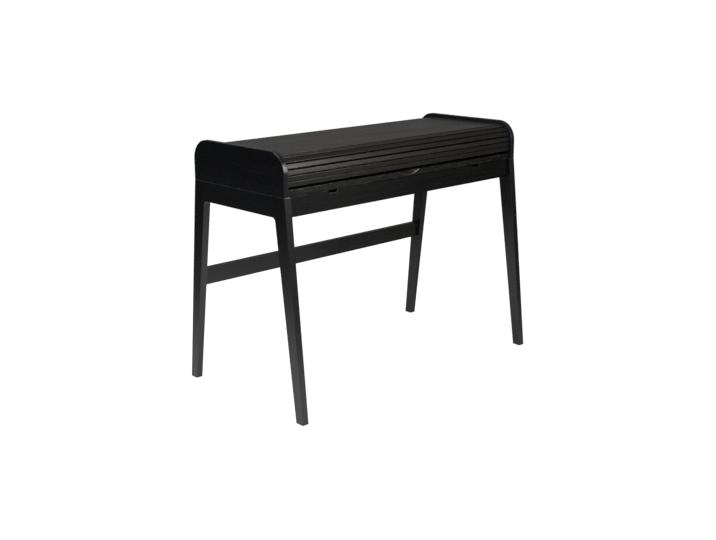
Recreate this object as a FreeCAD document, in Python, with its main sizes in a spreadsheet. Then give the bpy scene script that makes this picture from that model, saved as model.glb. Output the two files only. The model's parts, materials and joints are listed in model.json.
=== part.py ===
import FreeCAD, Part
import math
import os
import Sketcher

# A writing desk whose curtain of wooden slats rolls back between two round-cornered cheeks.
# X runs along the width, the sitter is on the -Y side, Z is up, and the floor is at zero.
# All sizes are in millimetres.

SIZES = {
    # overall
    "desk_width": 1100,
    "desk_height": 850,
    "cheek_depth": 470,
    "foot_spread": 608,
    # the cheeks stand this high over the side frames
    "cheek_height": 138,
    # side frames: two legs and a rail each
    "frame_thickness": 26,
    "rail_height": 67,
    "leg_depth": 55,
    "foot_depth": 33,
    "foot_thickness": 23,
    "haunch_length": 21,
    "shoulder_radius": 14,
    "glide_height": 2,
    "glide_radius": 9,
    # dowels that hold the frames together
    "dowel_radius": 5,
    "dowel_length": 44,
    "dowel_spacing": 30,
    "cheek_dowel_radius": 4,
    "cheek_dowel_length": 36,
    "cheek_dowel_room": 20,
    "bore_clearance": 0.15,
    "bore_end_room": 1,
    "stretcher_dowel_length": 40,
    "stretcher_dowel_spacing": 30,
    # cheeks and the track that the slats follow
    "cheek_thickness": 18,
    "cheek_radius": 68,
    "track_inset": 10,
    "top_inset": 13,
    "rear_inset": 24,
    "groove_depth": 6,
    "groove_play": 0.5,
    # slats
    "slat_thickness": 8,
    "slat_pitch": 17.4,
    "slat_gap": 2,
    "slat_round": 2,
    "slat_end_gap": 0.4,
    "tongue_gap": 1,
    "lead_width": 17.5,
    "lead_lift": 8.5,
    "curtain_travel": 120,
    "canvas_thickness": 0.6,
    "canvas_side_gap": 12,
    # writing board and its finger scoop
    "board_thickness": 20,
    "scoop_width": 100,
    "scoop_depth": 15,
    "scoop_reach": 10,
    # inner back, outer back and rear rail
    "inner_back_thickness": 9,
    "inner_back_room": 16,
    "inner_back_setback": 63,
    "back_thickness": 6,
    "back_lift": 2,
    "rear_rail_thickness": 22,
    "rear_rail_setback": 48,
    "tail_room": 7,
    "tail_clearance": 3,
    # stretcher between the rear legs
    "stretcher_height": 59,
    "stretcher_bottom": 342,
    "stretcher_thickness": 20,
    # drawer
    "drawer_gap": 2,
    "front_thickness": 18,
    "drawer_side_gap": 3,
    "drawer_side_thickness": 14,
    "drawer_top_room": 10,
    "drawer_side_lift": 6,
    "drawer_rear_room": 16,
    "drawer_back_thickness": 12,
    "bottom_thickness": 5,
    "bottom_lift": 4,
    "bottom_groove": 5,
    "bottom_play": 0.2,
    "runner_height": 12,
    "runner_reach": 12,
    "runner_play": 0.3,
    "runner_lift": 24,
    "runner_front_room": 12,
    "notch_spacing": 690,
    "notch_width": 38,
    "notch_depth": 8,
    "notch_radius": 6,
    # tools that cut reach this far past the wood
    "overrun": 5,
}

# Counts: the slats that go round the rear bend, and the dowels under a cheek
REAR_TURN_SLATS = 4
REAR_SLATS = 3
TAIL_SLATS = 4
CHEEK_DOWELS = 3
LEFT, RIGHT = -1, 1
FRONT, REAR = -1, 1

doc = FreeCAD.newDocument("tambour_desk")
sheet = doc.addObject("Spreadsheet::Sheet", "sizes")
for row, (alias, value) in enumerate(SIZES.items(), start=1):
    sheet.set(f"A{row}", alias)
    sheet.set(f"B{row}", str(value))
    sheet.setAlias(f"B{row}", alias)
doc.recompute()


class Size:
    # A length together with the sheet formula that gives it
    def __init__(self, value, text):
        self.value = value
        self.text = text

    def __add__(self, other):
        other = as_size(other)
        return Size(self.value + other.value, f"({self.text} + {other.text})")

    def __sub__(self, other):
        other = as_size(other)
        return Size(self.value - other.value, f"({self.text} - {other.text})")

    def __mul__(self, other):
        other = as_size(other)
        return Size(self.value * other.value, f"({self.text} * {other.text})")

    def __truediv__(self, other):
        other = as_size(other)
        return Size(self.value / other.value, f"({self.text} / {other.text})")

    def __neg__(self):
        return Size(-self.value, f"(-1 * {self.text})")

    __rmul__ = __mul__


def as_size(number):
    if isinstance(number, Size):
        return number
    return Size(float(number), repr(float(number)))


def root(size):
    return Size(math.sqrt(size.value), f"sqrt({size.text})")


def cell(alias):
    return Size(float(sheet.get(alias)), f"sizes.{alias}")


def bind(thing, prop, size):
    thing.setExpression(prop, as_size(size).text)


def place(thing, x, y, z):
    for axis, size in zip("xyz", (x, y, z)):
        bind(thing, f"Placement.Base.{axis}", size)


def outline(sketch, points, radii):
    # Closed outline through the points. radii maps a point's index to the radius of the arc that
    # leaves it: positive bulges to the left of the way, negative to the right.
    count = len(points)
    places = [FreeCAD.Vector(as_size(x).value, as_size(y).value, 0) for x, y in points]
    for index in range(count):
        start, end = places[index], places[(index + 1) % count]
        if index not in radii:
            sketch.addGeometry(Part.LineSegment(start, end))
            continue
        radius = abs(radii[index].value)
        way = end - start
        left = FreeCAD.Vector(-way.y, way.x, 0).normalize()
        side = 1 if radii[index].value > 0 else -1
        centre_off = math.sqrt(max(radius ** 2 - way.Length ** 2 / 4, 0))
        middle = start + way / 2 + left * (side * (radius - centre_off))
        sketch.addGeometry(Part.Arc(start, middle, end))
    for index in range(count):
        following = (index + 1) % count
        sketch.addConstraint(Sketcher.Constraint("Coincident", index, arc_end(radii, index, True),
                                                 following, arc_end(radii, following, False)))
    for index, (x, y) in enumerate(points):
        corner = arc_end(radii, index, False)
        for kind, size in (("DistanceX", x), ("DistanceY", y)):
            size = as_size(size)
            number = sketch.addConstraint(Sketcher.Constraint(kind, -1, 1, index, corner, size.value))
            sketch.setExpression(f"Constraints[{number}]", size.text)
    for index, radius in radii.items():
        size = radius if radius.value > 0 else -radius
        number = sketch.addConstraint(Sketcher.Constraint("Radius", index, size.value))
        sketch.setExpression(f"Constraints[{number}]", size.text)


def arc_end(radii, index, last):
    # An arc is kept counter-clockwise, so one that bulges to the left starts at its far end
    swapped = index in radii and radii[index].value > 0
    return (1 if swapped else 2) if last else (2 if swapped else 1)


def padded(name, plane, points, length, radii=None):
    # A body made by padding one outline along the plane's normal
    body = doc.addObject("PartDesign::Body", name)
    sketch = body.newObject("Sketcher::SketchObject", f"{name}_outline")
    role = f"{plane}_Plane"
    sketch.AttachmentSupport = [next(o for o in body.Origin.OriginFeatures if o.Role == role)]
    sketch.MapMode = "FlatFace"
    outline(sketch, points, radii or {})
    pad = body.newObject("PartDesign::Pad", f"{name}_pad")
    pad.Profile = sketch
    bind(pad, "Length", length)
    return body


def board(name, low, high):
    # A rectangular board between two corners
    box = doc.addObject("Part::Box", name)
    place(box, *low)
    for prop, start, end in zip(("Length", "Width", "Height"), low, high):
        bind(box, prop, as_size(end) - start)
    return box


def mirrored_board(name, side, inner, outer, low_y, high_y, low_z, high_z):
    # A board given by its distances from the middle of the desk
    low_x = inner if side == RIGHT else -outer
    high_x = outer if side == RIGHT else -inner
    return board(name, (low_x, low_y, low_z), (high_x, high_y, high_z))


AXES = {
    "X": FreeCAD.Vector(1, 0, 0),
    "Y": FreeCAD.Vector(0, 1, 0),
    "Z": FreeCAD.Vector(0, 0, 1),
}


def peg(name, axis, start, radius, length):
    # A round peg along X, Y or Z from its start point
    rod = doc.addObject("Part::Cylinder", name)
    bind(rod, "Radius", radius)
    bind(rod, "Height", length)
    rod.Placement.Rotation = FreeCAD.Rotation(FreeCAD.Vector(0, 0, 1), AXES[axis])
    place(rod, *start)
    return rod


def group(name, members):
    compound = doc.addObject("Part::Compound", name)
    compound.Links = members
    return compound


def cut(name, base, tools):
    result = doc.addObject("Part::Cut", name)
    result.Base = base
    result.Tool = tools[0] if len(tools) == 1 else group(f"{name}_tools", tools)
    return result


nodes = {}


def keep(name, thing):
    thing.Label = name
    nodes[name] = thing
    return thing


# Lines that several pieces share
half_width = cell("desk_width") / 2
half_depth = cell("cheek_depth") / 2
seam = cell("desk_height") - cell("cheek_height")
rail_bottom = seam - cell("rail_height")
frame_inner = half_width - cell("frame_thickness")
cheek_inner = half_width - cell("cheek_thickness")
front_face = half_depth - cell("track_inset")
board_top = seam + cell("board_thickness")
over = cell("overrun")
bore = cell("dowel_radius") + cell("bore_clearance")
cheek_bore = cell("cheek_dowel_radius") + cell("bore_clearance")
room = cell("bore_end_room")

# The legs splay from the seam to the floor
splay = cell("foot_spread") / 2 - half_depth


def leg_outer(height):
    return half_depth + splay * (seam - height) / seam


def leg_inner(height):
    depth = cell("foot_depth") + (cell("leg_depth") - cell("foot_depth")) * height / rail_bottom
    return leg_outer(height) - depth


def leg_face(height):
    # Distance of a leg's inner face from the middle of the desk, below the rail
    gained = (cell("frame_thickness") - cell("foot_thickness")) * height / rail_bottom
    return half_width - cell("foot_thickness") - gained


rail_end = leg_inner(rail_bottom) - cell("haunch_length")
foot = cell("glide_height")


def rail_dowels(side, end, radius, extra=0):
    # Two dowels, one over the other, across the joint between a rail and a leg
    length = cell("dowel_length") + 2 * as_size(extra)
    middle = (seam + rail_bottom) / 2
    pegs = []
    for step in (-1, 1):
        height = middle + step * cell("dowel_spacing") / 2
        start = (side * (half_width - cell("frame_thickness") / 2), end * rail_end - length / 2, height)
        pegs.append(peg("rail_dowel", "Y", start, radius, length))
    return pegs


def cheek_dowels(side, radius, extra=0):
    # A row of upright dowels between a cheek and the rail under it, clear of the rail's own dowels
    length = cell("cheek_dowel_length") + 2 * as_size(extra)
    reach = rail_end - cell("dowel_length") / 2 - cell("cheek_dowel_room")
    pegs = []
    for index in range(CHEEK_DOWELS):
        along = reach * (2 * index / (CHEEK_DOWELS - 1) - 1)
        start = (side * (half_width - cell("cheek_thickness") / 2), along, seam - length / 2)
        pegs.append(peg("cheek_dowel", "Z", start, radius, length))
    return pegs


# The track: its inner line runs up the front, round a bend, back along the top, round and down
track_radius = cell("cheek_radius") - cell("track_inset") - cell("slat_thickness")
bend_height = cell("desk_height") - cell("top_inset") - cell("slat_thickness") - track_radius
front_bend = half_depth - cell("cheek_radius")
rear_bend = half_depth - cell("rear_inset") - cell("slat_thickness") - track_radius
rear_run = rear_bend + track_radius
top_run = bend_height + track_radius
track_floor = board_top + cell("lead_lift") / 2

# Places along the track are counted from where its front bend starts
quarter_share = math.pi / 2
bend_length = quarter_share * track_radius
top_length = front_bend + rear_bend
curtain_start = board_top + cell("lead_lift") - bend_height
pitch = cell("slat_pitch")
first_slat = curtain_start + cell("lead_width") + pitch / 2
# As many slats as the front and its bend have room for, and on the top those that stay there
# when the curtain opens
front_slats = max(1, 1 + math.floor(-first_slat.value / pitch.value))
first_bend_slat = first_slat + front_slats * pitch
front_bend_slats = math.ceil((bend_length - first_bend_slat).value / pitch.value + 1 / 2)
first_top_slat = first_bend_slat + front_bend_slats * pitch
top_room = bend_length + top_length - cell("curtain_travel") - first_top_slat
top_slats = 1 + math.floor(top_room.value / pitch.value)
slats_behind = REAR_TURN_SLATS + REAR_SLATS + TAIL_SLATS
tail_end = first_top_slat + (top_slats + slats_behind - 1 / 2) * pitch + cell("curtain_travel")
tail_low = bend_height + 2 * bend_length + top_length - tail_end

# Stretcher line: the middle of the rear legs at half its height
stretcher_low = cell("stretcher_bottom")
stretcher_high = stretcher_low + cell("stretcher_height")
stretcher_mid = (stretcher_low + stretcher_high) / 2
stretcher_y = (leg_outer(stretcher_mid) + leg_inner(stretcher_mid)) / 2


def stretcher_dowels(side, radius, extra=0):
    # Two dowels, one over the other, between a rear leg and the stretcher's end
    length = cell("stretcher_dowel_length") + 2 * as_size(extra)
    pegs = []
    for step in (-1, 1):
        height = stretcher_mid + step * cell("stretcher_dowel_spacing") / 2
        start = (side * leg_face(stretcher_mid) - length / 2, stretcher_y, height)
        pegs.append(peg("stretcher_dowel", "X", start, radius, length))
    return pegs


def make_leg(name, side, end):
    points = [(end * leg_outer(foot), foot), (end * half_depth, seam), (end * rail_end, seam),
              (end * rail_end, rail_bottom), (end * leg_inner(rail_bottom), rail_bottom),
              (end * leg_inner(foot), foot)]
    body = padded(f"{name}_blank", "YZ", points, cell("frame_thickness"))
    place(body, -half_width if side == LEFT else frame_inner, 0, 0)
    doc.recompute()
    pad = body.Tip
    corner_y = end * leg_inner(rail_bottom).value
    shoulder = None
    for index, edge in enumerate(pad.Shape.Edges, start=1):
        ends = [vertex.Point for vertex in edge.Vertexes]
        if all(math.hypot(p.y - corner_y, p.z - rail_bottom.value) < foot.value / 2 for p in ends):
            shoulder = f"Edge{index}"
    fillet = body.newObject("PartDesign::Fillet", f"{name}_shoulder")
    fillet.Base = (pad, [shoulder])
    bind(fillet, "Radius", cell("shoulder_radius"))
    # The inner face leans outwards below the rail
    wedge = padded(f"{name}_taper", "XZ",
                   [(side * frame_inner, rail_bottom), (side * leg_face(0), 0),
                    (side * (frame_inner - over), 0), (side * (frame_inner - over), rail_bottom)],
                   cell("foot_spread") + 2 * over)
    place(wedge, 0, cell("foot_spread") / 2 + over, 0)
    tools = [wedge] + rail_dowels(side, end, bore, room)
    if end == REAR:
        tools += stretcher_dowels(side, bore, room)
        # Pocket in the top of a rear leg, where the tail of the open curtain comes down
        beside = cell("tail_room")
        tools.append(mirrored_board(f"{name}_tail_pocket", side, frame_inner - over,
                                    cheek_inner + cell("slat_end_gap"), rear_run - beside,
                                    rear_run + cell("slat_thickness") + beside,
                                    tail_low - cell("tail_clearance"), seam + over))
    return keep(name, cut(name, body, tools))


def make_side_rail(name, side):
    blank = mirrored_board(f"{name}_blank", side, frame_inner, half_width, -rail_end, rail_end,
                           rail_bottom, seam)
    tools = rail_dowels(side, FRONT, bore, room) + rail_dowels(side, REAR, bore, room)
    tools += cheek_dowels(side, cheek_bore, room)
    return keep(name, cut(name, blank, tools))


def track_points(offset, low_front, low_rear):
    # One side of the track, the given distance outside its inner line
    radius = track_radius + offset
    return [(-front_bend - radius, low_front), (-front_bend - radius, bend_height),
            (-front_bend, bend_height + radius), (rear_bend, bend_height + radius),
            (rear_bend + radius, bend_height), (rear_bend + radius, low_rear)]


def make_cheek(name, side):
    radius = cell("cheek_radius")
    high = cell("desk_height")
    points = [(-half_depth, seam), (-half_depth, high - radius), (radius - half_depth, high),
              (half_depth - radius, high), (half_depth, high - radius), (half_depth, seam)]
    blank = padded(f"{name}_blank", "YZ", points, cell("cheek_thickness"), {1: radius, 3: radius})
    place(blank, -half_width if side == LEFT else cheek_inner, 0, 0)
    # Groove that the slats' ends run in, stopped at the front and open below at the back
    wide = cell("slat_thickness") + cell("groove_play")
    outer = track_points(wide, track_floor, seam - over)
    inner = track_points(-cell("groove_play"), track_floor, seam - over)
    ring = outer + inner[::-1]
    bend_out = track_radius + wide
    bend_in = track_radius - cell("groove_play")
    groove = padded(f"{name}_groove", "YZ", ring, cell("groove_depth") + over,
                    {1: bend_out, 3: bend_out, 7: -bend_in, 9: -bend_in})
    place(groove, -cheek_inner - cell("groove_depth") if side == LEFT else cheek_inner - over, 0, 0)
    return keep(name, cut(name, blank, [groove] + cheek_dowels(side, cheek_bore, room)))


def make_frames():
    for side, word in ((LEFT, "left"), (RIGHT, "right")):
        make_leg(f"leg_front_{word}", side, FRONT)
        make_leg(f"leg_rear_{word}", side, REAR)
        make_side_rail(f"side_rail_{word}", side)
        make_cheek(f"cheek_{word}", side)
    rail_pegs, cheek_pegs, stretcher_pegs, glides = [], [], [], []
    for side in (LEFT, RIGHT):
        cheek_pegs += cheek_dowels(side, cell("cheek_dowel_radius"))
        stretcher_pegs += stretcher_dowels(side, cell("dowel_radius"))
        for end in (FRONT, REAR):
            rail_pegs += rail_dowels(side, end, cell("dowel_radius"))
            glide_x = side * (half_width - cell("foot_thickness") / 2)
            glide_y = end * (leg_outer(foot) + leg_inner(foot)) / 2
            glides.append(peg("glide", "Z", (glide_x, glide_y, 0), cell("glide_radius"), foot))
    keep("rail_dowels", group("rail_dowels", rail_pegs))
    keep("cheek_dowels", group("cheek_dowels", cheek_pegs))
    keep("stretcher_dowels", group("stretcher_dowels", stretcher_pegs))
    keep("foot_glides", group("foot_glides", glides))


def make_stretcher():
    points = [(-leg_face(stretcher_low), stretcher_low), (leg_face(stretcher_low), stretcher_low),
              (leg_face(stretcher_high), stretcher_high), (-leg_face(stretcher_high), stretcher_high)]
    blank = padded("stretcher_blank", "XZ", points, cell("stretcher_thickness"))
    place(blank, 0, stretcher_y + cell("stretcher_thickness") / 2, 0)
    tools = stretcher_dowels(LEFT, bore, room) + stretcher_dowels(RIGHT, bore, room)
    keep("rear_stretcher", cut("rear_stretcher", blank, tools))


# The rear rail carries the back edge of the writing board
rear_rail_back = half_depth - cell("rear_rail_setback")
rear_rail_front = rear_rail_back - cell("rear_rail_thickness")


def make_writing_board():
    blank = board("writing_board_blank", (-cheek_inner, -front_face, seam),
                  (cheek_inner, rear_rail_back, board_top))
    # The scoop is a slice of a large ball, so the fingers reach under the lead rail
    half_scoop = cell("scoop_width") / 2
    depth = cell("scoop_depth")
    reach = cell("scoop_reach")
    rise = (half_scoop * half_scoop / depth - depth) / 2
    ahead = (half_scoop * half_scoop / reach - reach) / 2
    scoop = doc.addObject("Part::Sphere", "finger_scoop")
    bind(scoop, "Radius", root(ahead * ahead + (rise + depth) * (rise + depth)))
    place(scoop, 0, -front_face - ahead, board_top + rise)
    keep("writing_board", cut("writing_board", blank, [scoop]))


def make_backs():
    rear = half_depth - cell("inner_back_setback")
    front = rear - cell("inner_back_thickness")
    keep("inner_back", board("inner_back", (-cheek_inner, front, board_top),
                             (cheek_inner, rear, top_run - cell("inner_back_room"))))
    keep("rear_rail", board("rear_rail", (-frame_inner, rear_rail_front, rail_bottom),
                            (frame_inner, rear_rail_back, seam)))
    # The outer back rests on the tops of the rear legs and hangs down between them
    low = rail_bottom + cell("back_lift")
    points = [(-frame_inner, low), (frame_inner, low), (frame_inner, seam), (cheek_inner, seam),
              (cheek_inner, bend_height), (-cheek_inner, bend_height), (-cheek_inner, seam),
              (-frame_inner, seam)]
    panel = padded("back_panel_blank", "XZ", points, cell("back_thickness"))
    place(panel, 0, half_depth, 0)
    keep("back_panel", panel)


# Drawer: side-hung on two wooden runners
front_low = rail_bottom + cell("drawer_gap")
front_high = seam - cell("drawer_gap")
front_back = cell("front_thickness") - front_face
side_outer = frame_inner - cell("drawer_side_gap")
side_inner = side_outer - cell("drawer_side_thickness")
side_low = rail_bottom + cell("drawer_side_lift")
side_high = seam - cell("drawer_top_room")
drawer_end = rear_rail_front - cell("drawer_rear_room")
bottom_low = side_low + cell("bottom_lift")
bottom_high = bottom_low + cell("bottom_thickness")
runner_low = rail_bottom + cell("runner_lift")
runner_high = runner_low + cell("runner_height")


def bottom_slot(name):
    # Groove for the drawer's bottom, round three sides
    reach = side_inner + cell("bottom_groove")
    play = cell("bottom_play")
    return board(name, (-reach, front_back - cell("bottom_groove"), bottom_low - play),
                 (reach, drawer_end + over, bottom_high + play))


def make_drawer():
    blank = board("drawer_front_blank", (cell("drawer_gap") - frame_inner, -front_face, front_low),
                  (frame_inner - cell("drawer_gap"), front_back, front_high))
    half_notch = cell("notch_width") / 2
    radius = cell("notch_radius")
    floor = front_high - cell("notch_depth")
    tools = [bottom_slot("front_slot")]
    for side in (LEFT, RIGHT):
        middle = side * cell("notch_spacing") / 2
        points = [(middle - half_notch, front_high + over), (middle - half_notch, floor + radius),
                  (middle - half_notch + radius, floor), (middle + half_notch - radius, floor),
                  (middle + half_notch, floor + radius), (middle + half_notch, front_high + over)]
        notch = padded("finger_notch", "XZ", points, cell("front_thickness") + 2 * over,
                       {1: -radius, 3: -radius})
        place(notch, 0, front_back + over, 0)
        tools.append(notch)
    keep("drawer_front", cut("drawer_front", blank, tools))
    for side, word in ((LEFT, "left"), (RIGHT, "right")):
        blank = mirrored_board(f"drawer_side_{word}_blank", side, side_inner, side_outer,
                               front_back, drawer_end, side_low, side_high)
        play = cell("runner_play")
        slot = mirrored_board(f"runner_slot_{word}", side,
                              frame_inner - cell("runner_reach") - play, side_outer + over,
                              front_back + cell("runner_front_room"), drawer_end + over,
                              runner_low - play, runner_high + play)
        name = f"drawer_side_{word}"
        keep(name, cut(name, blank, [slot, bottom_slot(f"{word}_slot")]))
        runner = mirrored_board(f"drawer_runner_{word}", side, frame_inner - cell("runner_reach"),
                                frame_inner, front_back + cell("runner_front_room") + play, drawer_end,
                                runner_low, runner_high)
        keep(f"drawer_runner_{word}", runner)
    back_low_y = drawer_end - cell("drawer_back_thickness")
    keep("drawer_back", board("drawer_back", (-side_inner, back_low_y, bottom_high),
                              (side_inner, drawer_end, side_high)))
    reach = side_inner + cell("bottom_groove") - cell("bottom_play")
    front_reach = front_back - cell("bottom_groove") + cell("bottom_play")
    keep("drawer_bottom", board("drawer_bottom", (-reach, front_reach, bottom_low),
                                (reach, drawer_end, bottom_high)))


def track_place(along):
    # Point and heading of the track's inner line.
    # The heading is 0 up the front, a quarter turn along the top and a half turn down the back.
    radius, low = track_radius.value, bend_height.value
    front, rear = front_bend.value, rear_bend.value
    bend, top = bend_length.value, top_length.value
    if along < 0:
        return -front - radius, low + along, 0
    if along < bend:
        turn = along / radius
        return -front - radius * math.cos(turn), low + radius * math.sin(turn), turn
    if along < bend + top:
        return along - bend - front, low + radius, quarter_share
    if along < bend + top + bend:
        turn = (along - bend - top) / radius
        return rear + radius * math.sin(turn), low + radius * math.cos(turn), quarter_share + turn
    return rear + radius, low - (along - 2 * bend - top), 2 * quarter_share


def make_slat(name, width, half_length, along):
    thick = cell("slat_thickness")
    round_edge = cell("slat_round")
    half = width / 2
    points = [(-half, 0), (half, 0), (half, thick - round_edge), (half - round_edge, thick),
              (round_edge - half, thick), (-half, thick - round_edge)]
    slat = padded(name, "YZ", points, 2 * half_length, {2: -round_edge, 4: -round_edge})
    y, z, heading = track_place(along)
    turn = FreeCAD.Rotation(FreeCAD.Vector(1, 0, 0), 90 - math.degrees(heading))
    slat.Placement = FreeCAD.Placement(FreeCAD.Vector(-half_length.value, y, z), turn)
    bind(slat, "Placement.Base.x", -half_length)
    return slat


def make_curtain():
    lead = cell("lead_width")
    gap = cell("slat_gap")
    short = cheek_inner - cell("slat_end_gap")
    long = cheek_inner + cell("groove_depth") - cell("tongue_gap")

    def slat(name, index, half_length):
        return make_slat(name, pitch - gap, half_length, (first_slat + index * pitch).value)

    def loose_slats(name, index, count):
        # Slats that turn one by one, each with a node of its own
        for number in range(1, count + 1):
            keep(f"{name}_{number}", slat(f"{name}_{number}", index + number - 1, short))

    keep("lead_rail", make_slat("lead_rail", lead - gap, short, (curtain_start + lead / 2).value))
    front = [slat("front_slat", number, short) for number in range(front_slats)]
    keep("front_slat", group("front_slat", front))
    index = front_slats
    loose_slats("front_bend_slat", index, front_bend_slats)
    index += front_bend_slats
    top = [slat("top_slat", index + number, long) for number in range(top_slats)]
    keep("top_slats", group("top_slats", top))
    # Canvas glued under the slats that stay on the top
    canvas_start = first_top_slat - pitch / 2 - bend_length - front_bend
    canvas_half = cheek_inner - cell("canvas_side_gap")
    keep("canvas_top", board("canvas_top",
                             (-canvas_half, canvas_start + gap / 2, top_run - cell("canvas_thickness")),
                             (canvas_half, canvas_start + top_slats * pitch - gap / 2, top_run)))
    index += top_slats
    loose_slats("rear_turn_slat", index, REAR_TURN_SLATS)
    index += REAR_TURN_SLATS
    rear = [slat("rear_slat", index + number, short) for number in range(REAR_SLATS)]
    keep("rear_slats", group("rear_slats", rear))
    index += REAR_SLATS
    loose_slats("tail_slat", index, TAIL_SLATS)


make_frames()
make_stretcher()
make_writing_board()
make_backs()
make_drawer()
make_curtain()
doc.recompute()

for thing in doc.Objects:
    if "Invalid" in thing.State or "Error" in thing.State:
        raise RuntimeError(f"{thing.Label} failed to rebuild: {thing.State}")
for name, thing in nodes.items():
    shape = thing.Shape
    if shape.isNull() or not shape.isValid() or not shape.Solids:
        raise RuntimeError(f"{name} has no sound solid")

os.makedirs("parts", exist_ok=True)
for name, thing in nodes.items():
    shape = thing.Shape
    shape.exportStep(f"parts/{name}.step")
    box = shape.BoundBox
    print(f"{name}: {len(shape.Solids)} solid(s), {box.XLength:.1f} x {box.YLength:.1f} x {box.ZLength:.1f}")
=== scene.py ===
import bmesh
import bpy
import json
import math
from mathutils import Matrix, Vector

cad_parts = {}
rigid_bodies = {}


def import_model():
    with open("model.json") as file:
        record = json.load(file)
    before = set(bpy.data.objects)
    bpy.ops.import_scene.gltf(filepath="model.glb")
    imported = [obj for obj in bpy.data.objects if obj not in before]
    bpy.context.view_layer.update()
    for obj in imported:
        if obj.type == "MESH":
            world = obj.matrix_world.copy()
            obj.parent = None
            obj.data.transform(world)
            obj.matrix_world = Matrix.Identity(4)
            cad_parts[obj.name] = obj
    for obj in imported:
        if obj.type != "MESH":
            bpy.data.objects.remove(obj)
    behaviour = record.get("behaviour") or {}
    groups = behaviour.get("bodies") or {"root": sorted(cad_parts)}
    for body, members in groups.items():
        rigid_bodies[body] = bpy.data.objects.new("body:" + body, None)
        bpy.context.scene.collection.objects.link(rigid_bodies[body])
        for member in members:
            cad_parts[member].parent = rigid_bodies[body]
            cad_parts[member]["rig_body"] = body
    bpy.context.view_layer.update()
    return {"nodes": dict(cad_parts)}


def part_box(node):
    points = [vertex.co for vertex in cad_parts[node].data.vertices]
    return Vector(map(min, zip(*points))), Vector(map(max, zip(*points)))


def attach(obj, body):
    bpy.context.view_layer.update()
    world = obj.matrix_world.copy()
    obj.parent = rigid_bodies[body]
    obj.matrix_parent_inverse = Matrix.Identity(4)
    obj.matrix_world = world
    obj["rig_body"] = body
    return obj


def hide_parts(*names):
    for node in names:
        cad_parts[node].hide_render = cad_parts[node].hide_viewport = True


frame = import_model()
nodes = frame["nodes"]
scene = bpy.context.scene


# small helpers for node trees: an input takes a plain value or the output of another node
def setInputs(tree, node, inputs):
    for name, value in inputs.items():
        socket = node.inputs[name]
        if isinstance(value, bpy.types.NodeSocket):
            tree.links.new(value, socket)
        else:
            socket.default_value = value


def addNode(tree, kind, inputs=None, **settings):
    node = tree.nodes.new(kind)
    for name, value in settings.items():
        setattr(node, name, value)
    setInputs(tree, node, inputs or {})
    return node


def mathNode(tree, operation, *values, clamp=False):
    inputs = dict(enumerate(values))
    return addNode(tree, "ShaderNodeMath", inputs, operation=operation, use_clamp=clamp).outputs[0]


# a mix node has sockets for every type of value, and these are the places of those for colour
mixSockets = {"factor": 0, "first": 6, "second": 7, "result": 2}


def mixColor(tree, factor, first, second):
    inputs = {mixSockets["factor"]: factor, mixSockets["first"]: first, mixSockets["second"]: second}
    return addNode(tree, "ShaderNodeMix", inputs, data_type="RGBA").outputs[mixSockets["result"]]


def ramp(tree, value, limits):
    low, high = limits
    inputs = {"Value": value, "From Min": low, "From Max": high}
    return addNode(tree, "ShaderNodeMapRange", inputs, interpolation_type="SMOOTHSTEP").outputs["Result"]


def objectPlace(tree):
    return addNode(tree, "ShaderNodeTexCoord").outputs["Object"]


def attributeValue(tree, name):
    return addNode(tree, "ShaderNodeAttribute", attribute_name=name).outputs["Fac"]


def noiseValue(tree, place, noise):
    return addNode(tree, "ShaderNodeTexNoise", {"Vector": place, **noise}).outputs["Fac"]


def stretchedNoise(tree, place, look):
    # repeats per metre along the grain and across it
    along, across = look["repeats"]
    stretch = addNode(tree, "ShaderNodeMapping", {"Vector": place, "Scale": (along, across, across)})
    return noiseValue(tree, stretch.outputs["Vector"], {"Scale": 1.0, **look["noise"]})


def bumpNormal(tree, height, look):
    inputs = {"Height": height, "Strength": look["bump"], "Distance": look["bumpDepth"]}
    return addNode(tree, "ShaderNodeBump", inputs).outputs["Normal"]


def newMaterial(name):
    material = bpy.data.materials.new(name)
    material.use_nodes = True
    tree = material.node_tree
    return material, tree, tree.nodes["Principled BSDF"]


# black-stained ash: long soft bands, thin streaks along the grain, open pores, and a pale tone on eased
# edges that is partly wear and partly painted highlight
ashStain = {
    "deep": (0.0034, 0.0035, 0.0038),
    "pale": (0.019, 0.0185, 0.0175),
    "fleck": (0.05, 0.048, 0.045, 1),
    "pore": (0.0014, 0.0014, 0.0016, 1),
    "wornAndHighlight": (0.12, 0.117, 0.112, 1),
    "bands": {"repeats": (2.4, 32.0), "noise": {"Detail": 5.0, "Roughness": 0.6, "Distortion": 0.7}},
    "streaks": {"repeats": (4.2, 300.0), "noise": {"Detail": 4.0, "Roughness": 0.6, "Distortion": 0.3}},
    "specks": {"repeats": (26.0, 150.0), "noise": {"Detail": 4.0, "Roughness": 0.6, "Distortion": 0.3}},
    "pores": {"repeats": (30.0, 1300.0), "noise": {"Detail": 2.0, "Roughness": 0.6}},
    # noise values at which each part of the figure begins and is full
    "bandRange": (0.32, 0.68),
    "streakRange": (0.28, 0.72),
    "fleckRange": (0.36, 0.7),
    "speckRange": (0.48, 0.7),
    "poreRange": (0.55, 0.68),
    "earlyWoodRange": (0.3, 0.65),
    "bandShare": 0.55,
    "streakShare": 0.45,
    "poreShare": 0.8,
    # a slat's tone moves its figure along the grain, by metres, and lightens it
    "toneShift": 7.3,
    "toneShare": 0.5,
    "wearAndHighlightPatches": {"Scale": 26.0, "Detail": 3.0},
    "wearAndHighlightGain": 1.5,
    "roughness": 0.28,
    "poreRoughness": 0.25,
    "paleRoughness": -0.08,
    "specular": 0.55,
    "streakHeight": 0.4,
    "bump": 0.6,
    "bumpDepth": 0.00006,
}
grainTurns = {
    "x": (0, 0, 0),
    "y": (0, 0, math.radians(-90)),
    "z": (0, math.radians(90), 0),
}


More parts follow.
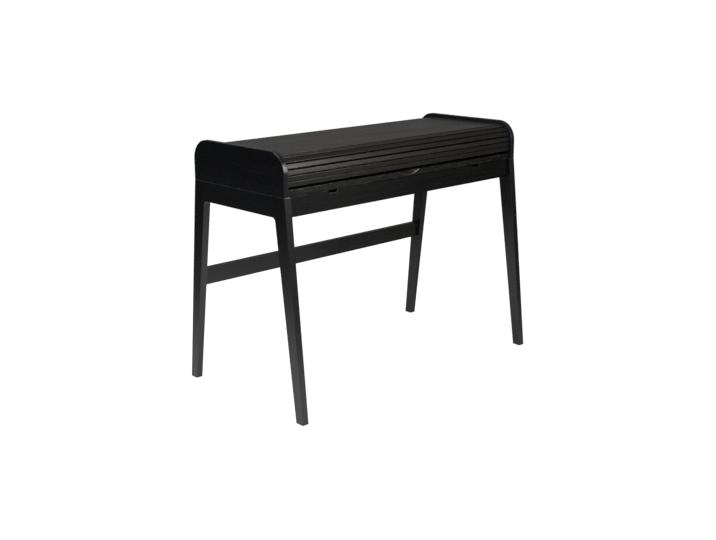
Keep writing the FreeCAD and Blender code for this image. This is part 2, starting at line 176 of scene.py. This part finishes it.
def stainedAsh(name, grain, tint, shift, flecks, contrast=1.0, mottle=0.0,
               roughness=ashStain["roughness"], specular=ashStain["specular"]):
    material, tree, surface = newMaterial(name)
    place = objectPlace(tree)
    turned = addNode(tree, "ShaderNodeMapping", {"Vector": place, "Rotation": grainTurns[grain]})
    # every slat carries its own tone, so that its figure differs from its neighbour's
    tone = attributeValue(tree, "tone")
    alongGrain = mathNode(tree, "MULTIPLY", tone, ashStain["toneShift"])
    offset = addNode(tree, "ShaderNodeCombineXYZ", {"X": alongGrain, "Y": shift})
    moved = addNode(tree, "ShaderNodeVectorMath",
                    {0: turned.outputs["Vector"], 1: offset.outputs["Vector"]}, operation="ADD")

    def grainNoise(size):
        return stretchedNoise(tree, moved.outputs["Vector"], ashStain[size])

    streaks = grainNoise("streaks")
    # pores crowd into the early wood, where the streaks are pale
    pores = ramp(tree, grainNoise("pores"), ashStain["poreRange"])
    poreMask = mathNode(tree, "MULTIPLY", pores, ramp(tree, streaks, ashStain["earlyWoodRange"]))
    bandPart = ramp(tree, grainNoise("bands"), ashStain["bandRange"])
    streakPart = ramp(tree, streaks, ashStain["streakRange"])
    figure = mathNode(tree, "MULTIPLY_ADD", bandPart, ashStain["bandShare"],
                      mathNode(tree, "MULTIPLY", streakPart, ashStain["streakShare"]))

    deep = tuple(c * s / contrast for c, s in zip(ashStain["deep"], tint)) + (1,)
    pale = tuple(c * s * contrast for c, s in zip(ashStain["pale"], tint)) + (1,)
    stain = mixColor(tree, figure, deep, pale)
    # tone also lightens a whole slat a little
    stain = mixColor(tree, mathNode(tree, "MULTIPLY", tone, ashStain["toneShare"]), stain, pale)
    light = mathNode(tree, "MULTIPLY", ramp(tree, streaks, ashStain["fleckRange"]), flecks)
    stain = mixColor(tree, light, stain, ashStain["fleck"])
    if mottle:
        # short specks on the edge that faces the sitter
        specks = ramp(tree, grainNoise("specks"), ashStain["speckRange"])
        front = mathNode(tree, "MULTIPLY", attributeValue(tree, "front"), mottle)
        stain = mixColor(tree, mathNode(tree, "MULTIPLY", specks, front), stain, ashStain["fleck"])
    dark = mathNode(tree, "MULTIPLY", poreMask, ashStain["poreShare"])
    stain = mixColor(tree, dark, stain, ashStain["pore"])
    # the pale tone on eased edges is partly rubbed-off stain and partly a painted highlight
    patches = noiseValue(tree, place, ashStain["wearAndHighlightPatches"])
    patches = mathNode(tree, "MULTIPLY", patches, ashStain["wearAndHighlightGain"])
    wearAndHighlight = mathNode(tree, "MULTIPLY", attributeValue(tree, "edge"), patches, clamp=True)
    stain = mixColor(tree, wearAndHighlight, stain, ashStain["wornAndHighlight"])

    rough = mathNode(tree, "MULTIPLY_ADD", poreMask, ashStain["poreRoughness"], roughness)
    rough = mathNode(tree, "MULTIPLY_ADD", figure, ashStain["paleRoughness"], rough)
    height = mathNode(tree, "MULTIPLY", streaks, ashStain["streakHeight"])
    height = mathNode(tree, "SUBTRACT", height, poreMask)
    setInputs(tree, surface, {
        "Base Color": stain,
        "Roughness": rough,
        "Specular IOR Level": specular,
        "Normal": bumpNormal(tree, height, ashStain),
    })
    return material


# the stain on each kind of piece: which way its grain runs, and how dark and figured it is; the side
# pieces' blue tint is a painted cool cast of shade
ashLooks = {
    "ash_across": {"grain": "x", "tint": (0.5, 0.5, 0.5), "shift": 0.13, "flecks": 0.05, "contrast": 1.5},
    "ash_panel": {
        "grain": "x", "tint": (0.45, 0.45, 0.45), "shift": 0.13, "flecks": 0.05, "contrast": 1.5,
        "roughness": 0.205, "specular": 0.5,
    },
    "ash_strip": {
        "grain": "x", "tint": (0.85, 0.85, 0.83), "shift": 0.44, "flecks": 0.1, "contrast": 1.5,
        "mottle": 1.0, "roughness": 0.24,
    },
    # its blue tint is a painted cool cast of the shade on the desk's sides
    "ash_deep": {"grain": "y", "tint": (0.85, 1.08, 1.55), "shift": 0.31, "flecks": 0.03},
    "ash_upright": {"grain": "z", "tint": (0.8, 0.84, 0.9), "shift": 0.57, "flecks": 0.03},
    "ash_slat": {"grain": "x", "tint": (1.04, 1.0, 0.93), "shift": 0.83, "flecks": 0.15, "contrast": 1.2},
}


# stained plywood: a stain like the ash's, with the plies showing faintly on the eased edges
plySheet = {
    "ply": 0.0014, "plyFrom": 0.2,
    "stain": (0.011, 0.0105, 0.0102, 1), "cross": (0.021, 0.0195, 0.018, 1),
    "fibre": {"repeats": (6, 300), "noise": {"Detail": 4.0, "Distortion": 0.4}}, "fibreShare": 0.6,
    "roughness": 0.42, "fibreRoughness": 0.2, "specular": 0.25, "bump": 0.4, "bumpDepth": 0.0002,
}


def stainedPly(name):
    material, tree, surface = newMaterial(name)
    place = objectPlace(tree)
    fibre = stretchedNoise(tree, place, plySheet["fibre"])
    across = addNode(tree, "ShaderNodeSeparateXYZ", {"Vector": place}).outputs["X"]
    plies = mathNode(tree, "SINE", mathNode(tree, "MULTIPLY", across, math.pi / plySheet["ply"]))
    shown = mathNode(tree, "MULTIPLY", mathNode(tree, "GREATER_THAN", plies, plySheet["plyFrom"]),
                     attributeValue(tree, "edge"))
    amount = mathNode(tree, "MULTIPLY_ADD", fibre, plySheet["fibreShare"], shown, clamp=True)
    rough = mathNode(tree, "MULTIPLY_ADD", fibre, plySheet["fibreRoughness"], plySheet["roughness"])
    setInputs(tree, surface, {
        "Base Color": mixColor(tree, amount, plySheet["stain"], plySheet["cross"]),
        "Roughness": rough,
        "Specular IOR Level": plySheet["specular"],
        "Normal": bumpNormal(tree, fibre, plySheet),
    })
    return material


# beech of the hidden dowels: pale, with small flecks
beechPeg = {
    "pale": (0.52, 0.36, 0.22, 1), "fleck": (0.36, 0.22, 0.12, 1),
    "flecks": {"Scale": 700.0, "Detail": 3.0}, "fleckRange": (0.5, 0.62), "roughness": 0.6,
}


def turnedBeech(name):
    material, tree, surface = newMaterial(name)
    flecks = ramp(tree, noiseValue(tree, objectPlace(tree), beechPeg["flecks"]), beechPeg["fleckRange"])
    setInputs(tree, surface, {
        "Base Color": mixColor(tree, flecks, beechPeg["pale"], beechPeg["fleck"]),
        "Roughness": beechPeg["roughness"],
    })
    return material


# plain-woven black canvas under the slats
canvasCloth = {
    "threads": 900.0, "dark": (0.006, 0.006, 0.0065, 1), "light": (0.03, 0.03, 0.031, 1),
    "slubs": {"Scale": 160.0, "Detail": 2.0},
    "roughness": 0.9, "specular": 0.15, "sheen": 0.15, "bump": 0.7, "bumpDepth": 0.0003,
}


def wovenCanvas(name):
    material, tree, surface = newMaterial(name)
    place = objectPlace(tree)
    split = addNode(tree, "ShaderNodeSeparateXYZ", {"Vector": place}).outputs
    step = math.pi * canvasCloth["threads"]
    warp = mathNode(tree, "SINE", mathNode(tree, "MULTIPLY", split["X"], step))
    weft = mathNode(tree, "SINE", mathNode(tree, "MULTIPLY", split["Y"], step))
    # threads pass over and under by turns, so the product of the waves is brought to 0 to 1
    over = mathNode(tree, "MULTIPLY_ADD", mathNode(tree, "MULTIPLY", warp, weft), 0.5, 0.5)
    amount = mathNode(tree, "MULTIPLY", over, noiseValue(tree, place, canvasCloth["slubs"]))
    setInputs(tree, surface, {
        "Base Color": mixColor(tree, amount, canvasCloth["dark"], canvasCloth["light"]),
        "Roughness": canvasCloth["roughness"],
        "Specular IOR Level": canvasCloth["specular"],
        "Sheen Weight": canvasCloth["sheen"],
        "Normal": bumpNormal(tree, over, canvasCloth),
    })
    return material


# pressed felt of the glides
feltPad = {
    "dark": (0.012, 0.012, 0.012, 1), "light": (0.04, 0.039, 0.038, 1),
    "fibres": {"Scale": 900.0, "Detail": 4.0, "Distortion": 1.5},
    "roughness": 0.95, "specular": 0.1, "bump": 0.8, "bumpDepth": 0.0003,
}


def pressedFelt(name):
    material, tree, surface = newMaterial(name)
    fibres = noiseValue(tree, objectPlace(tree), feltPad["fibres"])
    setInputs(tree, surface, {
        "Base Color": mixColor(tree, fibres, feltPad["dark"], feltPad["light"]),
        "Roughness": feltPad["roughness"],
        "Specular IOR Level": feltPad["specular"],
        "Normal": bumpNormal(tree, fibres, feltPad),
    })
    return material


ash = {name: stainedAsh(name, **look) for name, look in ashLooks.items()}
plyStain = stainedPly("ply_stained")
beech = turnedBeech("beech_turned")
canvas = wovenCanvas("canvas_woven")
felt = pressedFelt("felt_pressed")
print("finishes made")


# wooden pieces keep the frame's shape, and their sharp edges are eased as a cabinetmaker would
# the joint between a rail and its legs stays flush, and the seam under the cheeks is a wider groove
easing = {
    "width": 0.0009, "legWidth": 0.0012, "cheekWidth": 0.002, "drawerWidth": 0.0004, "thinWidth": 0.0006,
    "seamWidth": 0.0016, "rimWidth": 0.0012, "segments": 2, "profile": 0.6,
    # how far the stain is rubbed off and a painted highlight laid on the eased faces; at the seam the pale
    # tone is painted highlight only
    "edgeWearAndHighlight": 0.25, "seamHighlight": 0.7, "rimWearAndHighlight": 0.7,
    # holes up to this size are for dowels
    "dowelRim": 0.014,
    "near": 0.0004, "samePoint": 1e-6, "flatWithin": math.radians(1), "sharpFrom": math.radians(35),
    "frontFrom": -0.9, "flatWeight": 100,
}
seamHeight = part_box("cheek_left")[0].z
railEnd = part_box("side_rail_left")[1].y
# finger holds in the front: a scoop in the middle of the board, and two notches in the drawer
fingerHolds = {
    "writing_board": {"spacing": 0, "width": 0.1, "depth": 0.015},
    "drawer_front": {"spacing": 0.69, "width": 0.038, "depth": 0.008},
}


def linkPiece(nodeName, ending, mesh, material):
    piece = bpy.data.objects.new(f"{nodeName}_{ending}", mesh)
    scene.collection.objects.link(piece)
    mesh.materials.clear()
    mesh.materials.append(material)
    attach(piece, nodes[nodeName]["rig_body"])
    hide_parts(nodeName)
    return piece


def modifiedMesh(holder):
    graph = bpy.context.evaluated_depsgraph_get()
    mesh = bpy.data.meshes.new_from_object(holder.evaluated_get(graph))
    bpy.data.objects.remove(holder)
    return mesh


def evenNormals(mesh):
    # large flats stay flat and the eased edges round smoothly
    holder = bpy.data.objects.new("holder", mesh)
    scene.collection.objects.link(holder)
    for polygon in mesh.polygons:
        polygon.use_smooth = True
    weighting = holder.modifiers.new("weighting", "WEIGHTED_NORMAL")
    weighting.mode = "FACE_AREA"
    weighting.weight = easing["flatWeight"]
    weighting.keep_sharp = True
    return modifiedMesh(holder)


def sharpEdges(bm):
    return [e for e in bm.edges if len(e.link_faces) == 2 and e.calc_face_angle(0) > easing["sharpFrom"]]


def edgesToEase(bm):
    # the rims of dowel holes are small loops by themselves, and stay sharp
    left = set(sharpEdges(bm))
    found = []
    while left:
        group = []
        reached = [left.pop()]
        while reached:
            edge = reached.pop()
            group.append(edge)
            beside = {e for v in edge.verts for e in v.link_edges if e in left}
            left -= beside
            reached += beside
        places = zip(*(v.co for e in group for v in e.verts))
        if max(max(along) - min(along) for along in places) > easing["dowelRim"]:
            found += group
    return found


def atSeam(edge):
    return all(abs(v.co.z - seamHeight) < easing["near"] for v in edge.verts)


def atRailEnd(edge):
    return any(all(abs(v.co.y - end) < easing["near"] for v in edge.verts) for end in (railEnd, -railEnd))


def onRim(edge, hold, low, high):
    # the middle counts too, because a long edge can reach from one hold to the next
    start, end = (v.co for v in edge.verts)
    for place in (start, end, (start + end) / 2):
        beside = abs(abs(place.x) - hold["spacing"] / 2) < hold["width"] / 2 + easing["near"]
        inFront = place.y < low.y + easing["near"]
        inDepth = place.z > high.z - hold["depth"] - easing["near"]
        if not (beside and inFront and inDepth):
            return False
    return True


def easedPiece(nodeName, material, width=easing["width"], framed=False):
    # framed pieces meet at the rails' ends and the seam
    hold = fingerHolds.get(nodeName)
    low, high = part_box(nodeName)
    bm = bmesh.new()
    bm.from_mesh(nodes[nodeName].data)
    bmesh.ops.remove_doubles(bm, verts=bm.verts, dist=easing["samePoint"])
    bmesh.ops.dissolve_limit(bm, angle_limit=easing["flatWithin"], verts=bm.verts[:], edges=bm.edges[:])
    edgeLayer = bm.faces.layers.float.new("edge")

    def easeEdges(edges, offset, wornAndHighlight):
        if edges:
            made = bmesh.ops.bevel(bm, geom=edges, offset=offset, offset_type="OFFSET",
                                   profile=easing["profile"], segments=easing["segments"],
                                   affect="EDGES", clamp_overlap=True)
            for face in made["faces"]:
                face[edgeLayer] = max(face[edgeLayer], wornAndHighlight)

    if framed:
        seam = [e for e in edgesToEase(bm) if atSeam(e)]
        # the seam's eased faces take the pale tone as a painted highlight line
        easeEdges(seam, easing["seamWidth"], easing["seamHighlight"])
    # each pass rebuilds the edges around it, so the others are looked for again
    rest = [e for e in edgesToEase(bm) if not any(f[edgeLayer] for f in e.link_faces)]
    if framed:
        rest = [e for e in rest if not atRailEnd(e)]
    if hold:
        rest = [e for e in rest if not onRim(e, hold, low, high)]
    # a piece with a finger hold takes the pale tone at its rim only, as wear and painted highlight
    easeEdges(rest, width, 0 if hold else easing["edgeWearAndHighlight"])
    if hold:
        rim = [e for e in edgesToEase(bm) if onRim(e, hold, low, high)]
        easeEdges(rim, easing["rimWidth"], easing["rimWearAndHighlight"])
    for edge in sharpEdges(bm):
        edge.smooth = False

    # faces towards the sitter
    frontLayer = bm.faces.layers.float.new("front")
    bm.normal_update()
    for face in bm.faces:
        face[frontLayer] = float(face.normal.y < easing["frontFrom"])
    mesh = bpy.data.meshes.new(nodeName)
    bm.to_mesh(mesh)
    bm.free()
    linkPiece(nodeName, "wood", evenNormals(mesh), material)


for side in ("left", "right"):
    easedPiece(f"leg_front_{side}", ash["ash_upright"], easing["legWidth"], framed=True)
    easedPiece(f"leg_rear_{side}", ash["ash_upright"], easing["legWidth"], framed=True)
    easedPiece(f"side_rail_{side}", ash["ash_deep"], framed=True)
    easedPiece(f"cheek_{side}", ash["ash_deep"], easing["cheekWidth"], framed=True)
    easedPiece(f"drawer_runner_{side}", ash["ash_deep"])
    easedPiece(f"drawer_side_{side}", plyStain, easing["thinWidth"])
easedPiece("writing_board", ash["ash_strip"])
easedPiece("drawer_front", ash["ash_panel"], easing["drawerWidth"])
for nodeName in ("rear_stretcher", "inner_back", "rear_rail", "back_panel"):
    easedPiece(nodeName, ash["ash_across"])
for nodeName in ("drawer_back", "drawer_bottom"):
    easedPiece(nodeName, plyStain, easing["thinWidth"])
easedPiece("foot_glides", felt, easing["thinWidth"])
for nodeName in ("rail_dowels", "cheek_dowels", "stretcher_dowels"):
    nodes[nodeName].data.materials.clear()
    nodes[nodeName].data.materials.append(beech)
print("carcass and drawer dressed")


# the curtain: slats set out along the track that the cheeks' grooves follow
curtainTrack = {
    "frontBend": 0.167, "rearBend": 0.153, "bendHeight": 0.779, "radius": 0.05, "bendSteps": 64,
    "endHeight": 0.62,
}
slatSizes = {
    "pitch": 0.0174, "gap": 0.002, "thickness": 0.008, "round": 0.002, "ease": 0.0006, "cornerSteps": 5,
    "leadWidth": 0.0175, "leadStart": -0.0385, "seed": 7, "leadSeed": 47,
    # from the middle to the end of a slat: only the long ones enter the grooves
    "short": 0.5316, "long": 0.537,
    "frontBend": 5, "onTop": 11, "rearTurn": 4, "down": 3, "tail": 4,
}


def singleSlats(name, count):
    return [(f"{name}_{number + 1}", 1, "short") for number in range(count)]


# the curtain's nodes in order along the track, how many slats each holds, and their length
slatRows = [
    ("front_slat", 1, "short"),
    *singleSlats("front_bend_slat", slatSizes["frontBend"]),
    ("top_slats", slatSizes["onTop"], "long"),
    *singleSlats("rear_turn_slat", slatSizes["rearTurn"]),
    ("rear_slats", slatSizes["down"], "short"),
    *singleSlats("tail_slat", slatSizes["tail"]),
]


def slatTree():
    tree = bpy.data.node_groups.new("slats_on_track", "GeometryNodeTree")
    tree.interface.new_socket("Geometry", in_out="OUTPUT", socket_type="NodeSocketGeometry")
    for name in ("Half Length", "Width", "Thickness", "Round", "Ease", "First", "Pitch"):
        tree.interface.new_socket(name, in_out="INPUT", socket_type="NodeSocketFloat")
    for name in ("Count", "Seed"):
        tree.interface.new_socket(name, in_out="INPUT", socket_type="NodeSocketInt")
    given = addNode(tree, "NodeGroupInput").outputs
    index = addNode(tree, "GeometryNodeInputIndex").outputs["Index"]

    # track: up the front, over the top, down the back, both bends filleted
    radius = curtainTrack["radius"]
    low = curtainTrack["endHeight"]
    high = curtainTrack["bendHeight"] + radius
    front = -curtainTrack["frontBend"] - radius
    rear = curtainTrack["rearBend"] + radius
    corners = addNode(tree, "GeometryNodeCurvePrimitiveQuadrilateral", {
        "Point 1": (0, front, low), "Point 2": (0, front, high),
        "Point 3": (0, rear, high), "Point 4": (0, rear, low),
    }, mode="POINTS")
    opened = addNode(tree, "GeometryNodeSetSplineCyclic",
                     {"Geometry": corners.outputs["Curve"], "Cyclic": False})
    track = addNode(tree, "GeometryNodeFilletCurve", {
        "Curve": opened.outputs["Geometry"], "Radius": radius, "Count": curtainTrack["bendSteps"],
    }, mode="POLY")

    # profile: two rounded corners on the outside, eased ones where the canvas is glued
    profile = addNode(tree, "GeometryNodeCurvePrimitiveQuadrilateral",
                      {"Width": given["Width"], "Height": given["Thickness"]}, mode="RECTANGLE")
    # its corners 0 and 1 lie inside
    lastInner = 1
    outside = mathNode(tree, "GREATER_THAN", index, lastInner)
    spare = mathNode(tree, "SUBTRACT", given["Round"], given["Ease"])
    corner = mathNode(tree, "ADD", given["Ease"], mathNode(tree, "MULTIPLY", outside, spare))
    rounded = addNode(tree, "GeometryNodeFilletCurve", {
        "Curve": profile.outputs["Curve"], "Radius": corner, "Count": slatSizes["cornerSteps"],
    }, mode="POLY")
    lift = addNode(tree, "ShaderNodeCombineXYZ", {"Y": mathNode(tree, "DIVIDE", given["Thickness"], -2)})
    raised = addNode(tree, "GeometryNodeTransform",
                     {"Geometry": rounded.outputs["Curve"], "Translation": lift.outputs["Vector"]})

    # one slat, swept from end to end
    leftwards = mathNode(tree, "MULTIPLY", given["Half Length"], -1)
    leftEnd = addNode(tree, "ShaderNodeCombineXYZ", {"X": leftwards})
    rightEnd = addNode(tree, "ShaderNodeCombineXYZ", {"X": given["Half Length"]})
    line = addNode(tree, "GeometryNodeCurvePrimitiveLine",
                   {"Start": leftEnd.outputs["Vector"], "End": rightEnd.outputs["Vector"]})
    swept = addNode(tree, "GeometryNodeCurveToMesh", {
        "Curve": line.outputs["Curve"], "Profile Curve": raised.outputs["Geometry"], "Fill Caps": True,
    })

    # places along the track, measured from where the front bend begins
    straight = high - low - radius
    place = mathNode(tree, "MULTIPLY", index, given["Pitch"])
    place = mathNode(tree, "ADD", mathNode(tree, "ADD", place, given["First"]), straight)
    sampled = addNode(tree, "GeometryNodeSampleCurve",
                      {"Curves": track.outputs["Curve"], "Length": place}, mode="LENGTH").outputs
    points = addNode(tree, "GeometryNodePoints", {"Count": given["Count"], "Position": sampled["Position"]})
    way = addNode(tree, "ShaderNodeSeparateXYZ", {"Vector": sampled["Tangent"]}).outputs
    turn = addNode(tree, "ShaderNodeCombineXYZ", {"X": mathNode(tree, "ARCTAN2", way["Z"], way["Y"])})
    rotation = addNode(tree, "FunctionNodeEulerToRotation", {"Euler": turn.outputs["Vector"]})
    seated = addNode(tree, "GeometryNodeInstanceOnPoints", {
        "Points": points.outputs["Points"], "Instance": swept.outputs["Mesh"],
        "Rotation": rotation.outputs["Rotation"],
    })

    # each slat gets a tone of its own; a random value has an output for every type
    random = addNode(tree, "FunctionNodeRandomValue", {"Seed": given["Seed"]}, data_type="FLOAT")
    numberOutput = 1
    toned = addNode(tree, "GeometryNodeStoreNamedAttribute", {
        "Geometry": seated.outputs["Instances"], "Name": "tone", "Value": random.outputs[numberOutput],
    }, data_type="FLOAT", domain="INSTANCE")
    realized = addNode(tree, "GeometryNodeRealizeInstances", {"Geometry": toned.outputs["Geometry"]})
    addNode(tree, "NodeGroupOutput", {"Geometry": realized.outputs["Geometry"]})
    return tree


def slatPiece(tree, nodeName, first, count, halfLength, width, seed):
    holder = bpy.data.objects.new("holder", bpy.data.meshes.new("holder"))
    scene.collection.objects.link(holder)
    modifier = holder.modifiers.new("slats", "NODES")
    modifier.node_group = tree
    values = {
        "Half Length": halfLength, "Width": width, "Thickness": slatSizes["thickness"],
        "Round": slatSizes["round"], "Ease": slatSizes["ease"], "First": first,
        "Pitch": slatSizes["pitch"], "Count": count, "Seed": seed,
    }
    for item in tree.interface.items_tree:
        if item.in_out == "INPUT":
            modifier[item.identifier] = values[item.name]
    holder.update_tag()
    mesh = modifiedMesh(holder)
    bm = bmesh.new()
    bm.from_mesh(mesh)
    bmesh.ops.remove_doubles(bm, verts=bm.verts, dist=easing["samePoint"])
    bmesh.ops.recalc_face_normals(bm, faces=bm.faces[:])
    for face in bm.faces:
        face.smooth = True
    bm.to_mesh(mesh)
    bm.free()
    mesh.set_sharp_from_angle(angle=easing["sharpFrom"])
    mesh = evenNormals(mesh)
    mesh.name = nodeName
    linkPiece(nodeName, "wood", mesh, ash["ash_slat"])


slats = slatTree()
slatWidth = slatSizes["pitch"] - slatSizes["gap"]
firstSlat = slatSizes["leadStart"] + slatSizes["leadWidth"] + slatSizes["pitch"] / 2
index = 0
for nodeName, count, length in slatRows:
    slatPiece(slats, nodeName, firstSlat + index * slatSizes["pitch"], count, slatSizes[length],
              slatWidth, slatSizes["seed"] + index)
    index += count
slatPiece(slats, "lead_rail", slatSizes["leadStart"] + slatSizes["leadWidth"] / 2, 1, slatSizes["short"],
          slatSizes["leadWidth"] - slatSizes["gap"], slatSizes["leadSeed"])
print("curtain made:", len(slatRows) + 1, "pieces")


# canvas glued under the top slats: a thin woven sheet, its ends drawn in a little under each slat
canvasSheet = {"rowsPerSlat": 6, "columns": 60, "drawIn": 0.0012}


def canvasPiece():
    low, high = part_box("canvas_top")
    down = slatSizes["onTop"] * canvasSheet["rowsPerSlat"]
    bm = bmesh.new()
    layers = []
    for z in (low.z, high.z):
        grid = []
        for row in range(down + 1):
            share = row / down
            pull = canvasSheet["drawIn"] * (1 - abs(math.cos(math.pi * share * slatSizes["onTop"])))
            line = []
            for column in range(canvasSheet["columns"] + 1):
                x = low.x + pull + (high.x - low.x - 2 * pull) * column / canvasSheet["columns"]
                line.append(bm.verts.new((x, low.y + (high.y - low.y) * share, z)))
            grid.append(line)
        layers.append(grid)
    for grid in layers:
        for row in range(down):
            for column in range(canvasSheet["columns"]):
                bm.faces.new((grid[row][column], grid[row][column + 1],
                              grid[row + 1][column + 1], grid[row + 1][column]))
    # the thin rim between the two layers
    rims = []
    for grid in layers:
        rim = grid[0][:] + [line[-1] for line in grid[1:]] + grid[-1][-2::-1]
        rims.append(rim + [line[0] for line in grid[-2:0:-1]])
    for index in range(len(rims[0])):
        after = (index + 1) % len(rims[0])
        bm.faces.new((rims[0][index], rims[0][after], rims[1][after], rims[1][index]))
    bmesh.ops.recalc_face_normals(bm, faces=bm.faces[:])
    mesh = bpy.data.meshes.new("canvas_top_cloth")
    bm.to_mesh(mesh)
    bm.free()
    piece = linkPiece("canvas_top", "cloth", mesh, canvas)


canvasPiece()
print("canvas made")


# stage: a pale floor that stays white to the camera and keeps a soft shadow
# in reflections it shows painted pools of light, under the desk and in front of it, which fade away outside
# them
stageLook = {
    "floorSize": 1200.0, "bounce": 0.8, "glow": 0.98, "shadowShare": 0.35,
    "dim": 0.055, "wallTint": (1.0, 0.99, 0.955, 1),
}
# each patch is a painted pool of light seen in reflections, and it reaches along its way and across it
paintedFloorPools = [
    {"middle": (-0.5, -0.35, 0), "way": (1, 0), "reach": (1.25, 1.25), "glow": 0.98},
    {"middle": (4.2, -5.95, 0), "way": (0.634, -0.773), "reach": (3.8, 0.6), "glow": 0.58},
    {"middle": (-4.5, -4.0, 0), "way": (0.77, 0.63), "reach": (3.5, 2.0), "glow": 0.3},
]
litWalls = [
    {"way": (0.655, 0.755, 0), "power": 2.0, "glow": 0.11},
    {"way": (0.634, -0.773, 0), "power": 80.0, "glow": 0.95},
    {"way": (-0.77, -0.63, 0), "power": 6.0, "glow": 0.3},
]


def alongWay(tree, vector, way):
    product = addNode(tree, "ShaderNodeVectorMath", {0: vector, 1: way}, operation="DOT_PRODUCT")
    return product.outputs["Value"]


def greyDiffuse(tree, grey):
    return addNode(tree, "ShaderNodeBsdfDiffuse", {"Color": (grey, grey, grey, 1)}).outputs[0]


def patchGlow(tree, place, patch):
    spot = addNode(tree, "ShaderNodeVectorMath", {0: place, 1: patch["middle"]}, operation="SUBTRACT")
    wayX, wayY = patch["way"]
    glow = patch["glow"]
    for way, reach in zip(((wayX, wayY, 0), (-wayY, wayX, 0)), patch["reach"]):
        away = mathNode(tree, "DIVIDE", alongWay(tree, spot.outputs["Vector"], way), reach)
        square = mathNode(tree, "MULTIPLY", away, away)
        fall = mathNode(tree, "EXPONENT", mathNode(tree, "MULTIPLY", square, -1))
        glow = mathNode(tree, "MULTIPLY", fall, glow)
    return glow


def paleFloor():
    half = stageLook["floorSize"] / 2
    mesh = bpy.data.meshes.new("floor")
    corners = [(-half, -half, 0), (half, -half, 0), (half, half, 0), (-half, half, 0)]
    mesh.from_pydata(corners, [], [(0, 1, 2, 3)])
    floor = bpy.data.objects.new("floor", mesh)
    scene.collection.objects.link(floor)
    material = bpy.data.materials.new("floor_pale")
    material.use_nodes = True
    tree = material.node_tree
    tree.nodes.clear()
    path = addNode(tree, "ShaderNodeLightPath").outputs
    seen = mathNode(tree, "MAXIMUM", path["Is Camera Ray"], path["Is Glossy Ray"])
    seen = mathNode(tree, "MAXIMUM", seen, path["Is Transmission Ray"])
    place = objectPlace(tree)
    strength = mathNode(tree, "MULTIPLY", path["Is Camera Ray"], stageLook["glow"])
    # painted pools of light that glow only in reflections
    for patch in paintedFloorPools:
        strength = mathNode(tree, "MAXIMUM", strength, patchGlow(tree, place, patch))
    glow = addNode(tree, "ShaderNodeEmission", {"Strength": strength})
    pale = addNode(tree, "ShaderNodeAddShader",
                   {0: greyDiffuse(tree, stageLook["shadowShare"]), 1: glow.outputs[0]})
    mixed = addNode(tree, "ShaderNodeMixShader",
                    {0: seen, 1: greyDiffuse(tree, stageLook["bounce"]), 2: pale.outputs[0]})
    addNode(tree, "ShaderNodeOutputMaterial", {"Surface": mixed.outputs[0]})
    mesh.materials.append(material)


def studioWorld():
    # a dim studio, paler towards its lit walls
    world = bpy.data.worlds.new("studio")
    world.use_nodes = True
    tree = world.node_tree
    ahead = addNode(tree, "ShaderNodeTexCoord").outputs["Generated"]
    strength = stageLook["dim"]
    for wall in litWalls:
        facing = mathNode(tree, "MAXIMUM", alongWay(tree, ahead, wall["way"]), 0)
        lobe = mathNode(tree, "POWER", facing, wall["power"])
        strength = mathNode(tree, "MULTIPLY_ADD", lobe, wall["glow"], strength)
    setInputs(tree, tree.nodes["Background"], {"Color": stageLook["wallTint"], "Strength": strength})
    scene.world = world


lampSet = {
    "key": {
        "place": (1.396, -2.544, 1.806), "aim": (-0.464, -0.244, 0.636), "size": (0.45, 2.01),
        "watts": 5.6, "spread": 70, "tint": (1, 0.98, 0.96),
    },
    "fill": {
        "place": (-0.4, -3.0, 1.9), "aim": (-0.1, -0.2, 0.6), "size": (1.2, 1.0),
        "watts": 6, "spread": 180, "tint": (1, 0.98, 0.96),
    },
    "over": {
        "place": (-0.3, 0.1, 2.5), "aim": (0.0, 0.0, 0.8), "size": (1.4, 1.0),
        "watts": 34, "spread": 180, "tint": (1, 0.98, 0.95),
    },
}


def studioLamps():
    for name, look in lampSet.items():
        light = bpy.data.lights.new(name, "AREA")
        light.shape = "RECTANGLE"
        light.size, light.size_y = look["size"]
        light.energy = look["watts"]
        light.spread = math.radians(look["spread"])
        light.color = look["tint"]
        lamp = bpy.data.objects.new(name, light)
        scene.collection.objects.link(lamp)
        lamp.location = look["place"]
        way = Vector(look["aim"]) - Vector(look["place"])
        lamp.rotation_euler = way.to_track_quat("-Z", "Y").to_euler()
        lamp.visible_camera = False


# camera as found from the desk's outline in the picture: pixels, degrees and metres, on a 36 mm sensor
cameraFit = {
    "focal": 1027.16, "yaw": -43.23, "pitch": -12.06, "roll": -0.34,
    "place": (-2.45764, -2.59973, 1.30941), "middle": (360.69, 214.52), "image": (716, 540),
    "sensor": 36, "farthest": 2000,
}


def photoCamera():
    yaw, pitch, roll = (math.radians(cameraFit[k]) for k in ("yaw", "pitch", "roll"))
    ahead = Vector((math.sin(-yaw) * math.cos(pitch), math.cos(yaw) * math.cos(pitch), math.sin(pitch)))
    right = Vector((math.cos(yaw), math.sin(yaw), 0))
    up = right.cross(ahead)
    sideways = right * math.cos(roll) + up * math.sin(roll)
    upwards = up * math.cos(roll) - right * math.sin(roll)
    data = bpy.data.cameras.new("camera")
    camera = bpy.data.objects.new("camera", data)
    scene.collection.objects.link(camera)
    turned = Matrix((sideways, upwards, -ahead)).transposed().to_4x4()
    camera.matrix_world = Matrix.Translation(cameraFit["place"]) @ turned
    wide, high = cameraFit["image"]
    data.sensor_fit = "HORIZONTAL"
    data.sensor_width = cameraFit["sensor"]
    data.lens = cameraFit["focal"] / wide * data.sensor_width
    data.shift_x = (wide / 2 - cameraFit["middle"][0]) / wide
    data.shift_y = (cameraFit["middle"][1] - high / 2) / wide
    data.clip_end = cameraFit["farthest"]
    scene.camera = camera


paleFloor()
studioWorld()
studioLamps()
photoCamera()
scene.view_settings.view_transform = "Standard"
print("stage, lamps and camera set")
